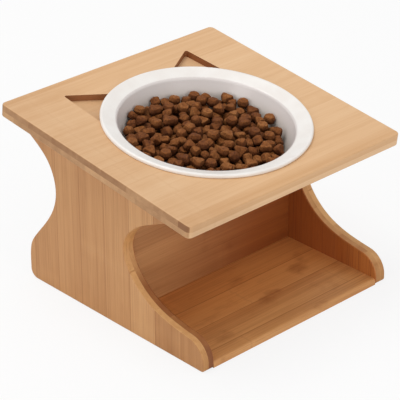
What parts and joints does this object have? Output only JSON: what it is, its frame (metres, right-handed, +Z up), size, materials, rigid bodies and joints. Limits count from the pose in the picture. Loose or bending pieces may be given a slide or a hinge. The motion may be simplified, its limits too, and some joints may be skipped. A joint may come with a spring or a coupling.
{
  "type": "elevated cat feeder",
  "caption": "Raised bamboo pet feeder: hourglass sides carry a tilted board with a cat-ear recess round a lift-out ceramic bowl of dry food.",
  "frame": {"origin": "on the ground, under the middle of the overall box", "axes": "+Z up; -Y towards the cat, where the board is lower and the shelf is open; +X across the stand, to the cat's right"},
  "size_m": [0.21, 0.2016, 0.1424],
  "materials": {
    "bamboo_top": "satin",
    "bamboo_side": "satin",
    "bamboo_inside": "satin",
    "white_glaze": "glossy",
    "dry_food": "matte",
    "settled_food": "matte",
    "dowel_wood": "matte"
  },
  "bodies": {
    "stand": {"top_board": "bamboo_top", "left_side_panel": "bamboo_side", "right_side_panel": "bamboo_side", "back_panel": "bamboo_inside", "shelf": "bamboo_inside", "top_dowels": "dowel_wood", "back_dowels": "dowel_wood"},
    "bowl_and_food": {"bowl": "white_glaze", "kibble": "settled_food", "kibble_pieces": "dry_food"}
  },
  "joints": [
    {"name": "bowl_lift", "type": "slide", "parent": "stand", "child": "bowl_and_food", "axis": [0, -0.1201, 0.9928], "range_m": [0, 0.065]}
  ]
}
